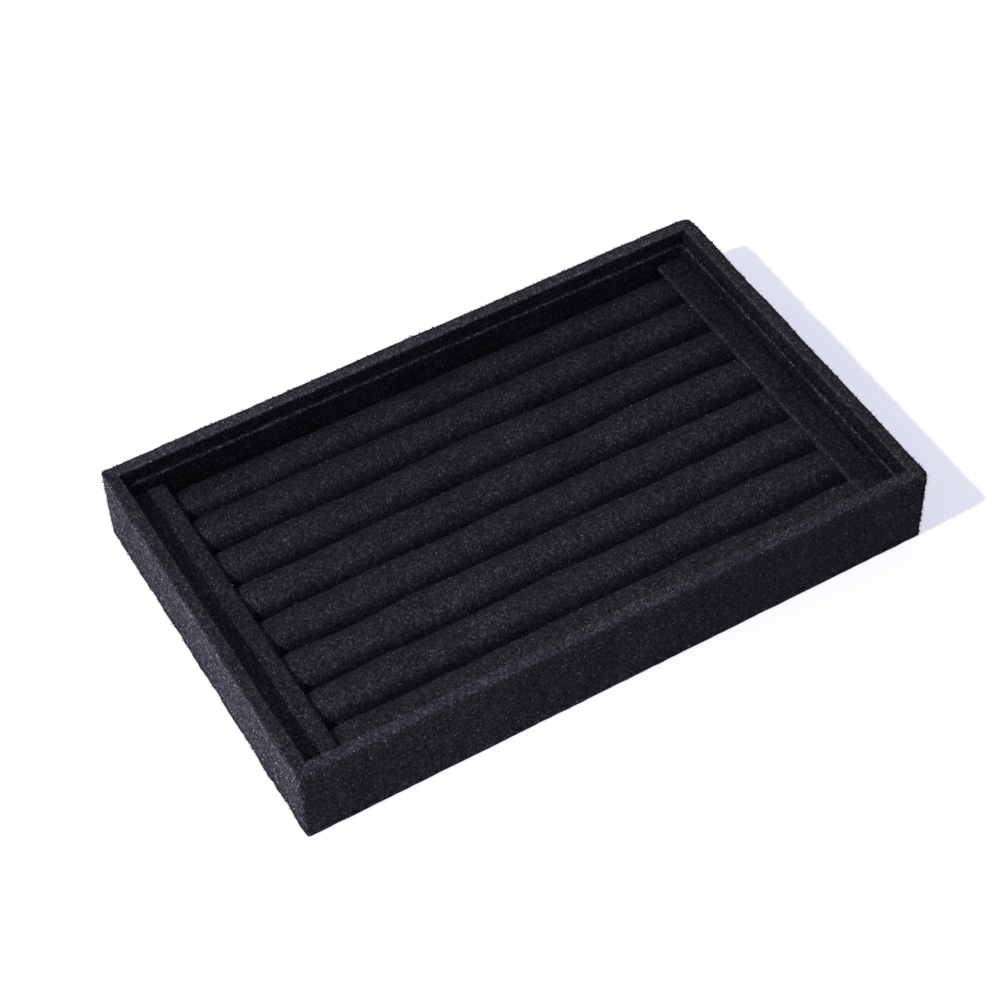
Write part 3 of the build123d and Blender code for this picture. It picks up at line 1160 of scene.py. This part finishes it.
def backing_finish():
    """Black bookbinding paper with a pressed leather grain: small raised cells with a dull shine."""
    finish, tree, place = new_finish("grained_black_paper")
    grain = add(tree, "TexVoronoi", {"Vector": place, "Scale": 1 / leather_grain}, feature="SMOOTH_F1")
    cells = grain.outputs["Distance"]
    rub = noise(tree, place, rubbed_patch)
    colour = shades(tree, weighed(tree, (cells, 0.5), (rub, 0.5)), (0.3, "#131315"), (0.7, "#2A2A2D"))
    rough = weighed(tree, (rub, 0.25), (cells, 0.15), start=paper_rough)
    plain_stuff(tree, colour, rough, cells, relief=0.15 * MM, strength=0.6, gloss=0.4)
    return finish


# Medium density fibreboard is tan, with short darker fibres pressed flat. Grey board is made from waste
# paper, flecked with darker and paler fibre.
fibreboard = pulp_finish("sawn_fibreboard", fleck=1.1 * MM, detail=4.0, cloud=9 * MM, fleck_share=0.7,
                         tones=((0.35, "#8A6A48"), (0.5, "#A98A63"), (0.66, "#C2A47C")),
                         rough=0.85, relief=0.1 * MM, strength=0.4)
grey_card = pulp_finish("grey_chipboard_card", fleck=0.6 * MM, detail=5.0, cloud=12 * MM, fleck_share=0.75,
                        tones=((0.33, "#5E5C58"), (0.5, "#7C7A75"), (0.68, "#A19F98")),
                        rough=0.8, relief=0.06 * MM, strength=0.3)
stiff_finishes = {"board": fibreboard, "card": grey_card, "sheet": backing_finish()}
for name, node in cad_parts.items():
    kind = name.rsplit("_", 1)[-1]
    if kind in stiff_finishes:
        for place in node.material_slots:
            place.material = stiff_finishes[kind]
        print(f"{name}: {stiff_finishes[kind].name}")

# %% [markdown]
# ## Floor and light
# The tray stands on a white table. The key light is a small lamp to the left, a little to the front and
# about 1.8 m away. That it isn't far off like the sun shows twice in the photograph: the left end is
# brighter than the right one, and the shadow inside the left rim is steeper than the one on the table. The
# sky fills the shadows. Together they light a level white sheet in the middle to exactly white, so that
# each colour renders as it was written. The camera sees the floor as white with a pale shadow, and the
# light that bounces off the floor is that of plain white paper.

# %% Floor
floor_half = 3.0
floor_glow = (0.536, 0.539, 0.701)
floor_paint = (0.564, 0.561, 0.419)
bounce_paint = 0.82
floor_corners = np.array([(-1, -1, 0), (1, -1, 0), (1, 1, 0), (-1, 1, 0)]) * floor_half
table_top = build_mesh("table_top", floor_corners, np.array([[0, 1, 2, 3]]))


def seen_straight(tree):
    """1 for light that goes straight to the camera, or by way of a mirror or glass, and 0 for the rest."""
    seen = add(tree, "LightPath").outputs
    straight = 0.0
    for kind in ("Camera", "Glossy", "Transmission"):
        inputs = {0: straight, 1: seen[f"Is {kind} Ray"]}
        straight = add(tree, "Math", inputs, operation="MAXIMUM").outputs[0]
    return straight


white_paper, tree, place = new_finish("white_table")
glow = add(tree, "Emission", {"Color": (*floor_glow, 1)})
paint = add(tree, "BsdfDiffuse", {"Color": (*floor_paint, 1)})
bright = add(tree, "AddShader", {0: glow.outputs[0], 1: paint.outputs[0]})
bounce = add(tree, "BsdfDiffuse", {"Color": (bounce_paint, bounce_paint, bounce_paint, 1)})
shader = {0: seen_straight(tree), 1: bounce.outputs[0], 2: bright.outputs[0]}
plug_in(tree, add(tree, "MixShader", shader))
table_top.data.materials.append(white_paper)

# %% Key light and sky
key_share = 0.56
lamp_place = np.array([-1.175, -0.09, 1.40])
lamp_size = 0.056
lamp_colour = (1.0, 0.99, 0.965)
sky_colour = (0.96, 0.965, 1.0, 1)
lamp_distance = np.linalg.norm(lamp_place)
lamp_slope = lamp_place[2] / lamp_distance
lamp_data = bpy.data.lights.new("key_light", "AREA")
lamp_data.shape = "DISK"
lamp_data.size = lamp_size
lamp_data.energy = key_share * math.pi**2 * lamp_distance**2 / lamp_slope
lamp_data.color = lamp_colour
key_light = put_in_scene("key_light", lamp_data)
key_light.location = lamp_place
key_light.rotation_euler = (0, -math.acos(lamp_slope), math.atan2(-lamp_place[1], -lamp_place[0]))

sky = bpy.data.worlds.new("sky")
bpy.context.scene.world = sky
sky.use_nodes = True
tree = sky.node_tree
tree.nodes.clear()
straight = seen_straight(tree)
fill = add(tree, "Background", {"Color": sky_colour, "Strength": 1 - key_share})
backdrop = add(tree, "Background", {"Color": (1, 1, 1, 1), "Strength": 1.0})
mixed = add(tree, "MixShader", {0: straight, 1: fill.outputs[0], 2: backdrop.outputs[0]})
add(tree, "OutputWorld", {"Surface": mixed.outputs[0]})
bpy.context.scene.view_settings.view_transform = "Standard"
print("lamp power in W:", round(lamp_data.energy, 2))

# %% [markdown]
# ## Camera
# The lens, place and turn come from fitting the tray's own corners to where they lie in the photograph.
# It looks from the front left, a little under 50 degrees above the table, and leans by less than 2 degrees.

# %% Camera
lens = 91.6075
camera_place = (-0.256475, -0.472018, 0.643144)
camera_turn = (40.5872, 1.7858, -30.1886)
camera_data = bpy.data.cameras.new("camera")
camera_data.lens = lens
camera_data.sensor_width = 36
camera_data.clip_start, camera_data.clip_end = 0.01, 20
camera = put_in_scene("camera", camera_data)
camera.location = camera_place
camera.rotation_euler = [math.radians(angle) for angle in camera_turn]
bpy.context.scene.camera = camera
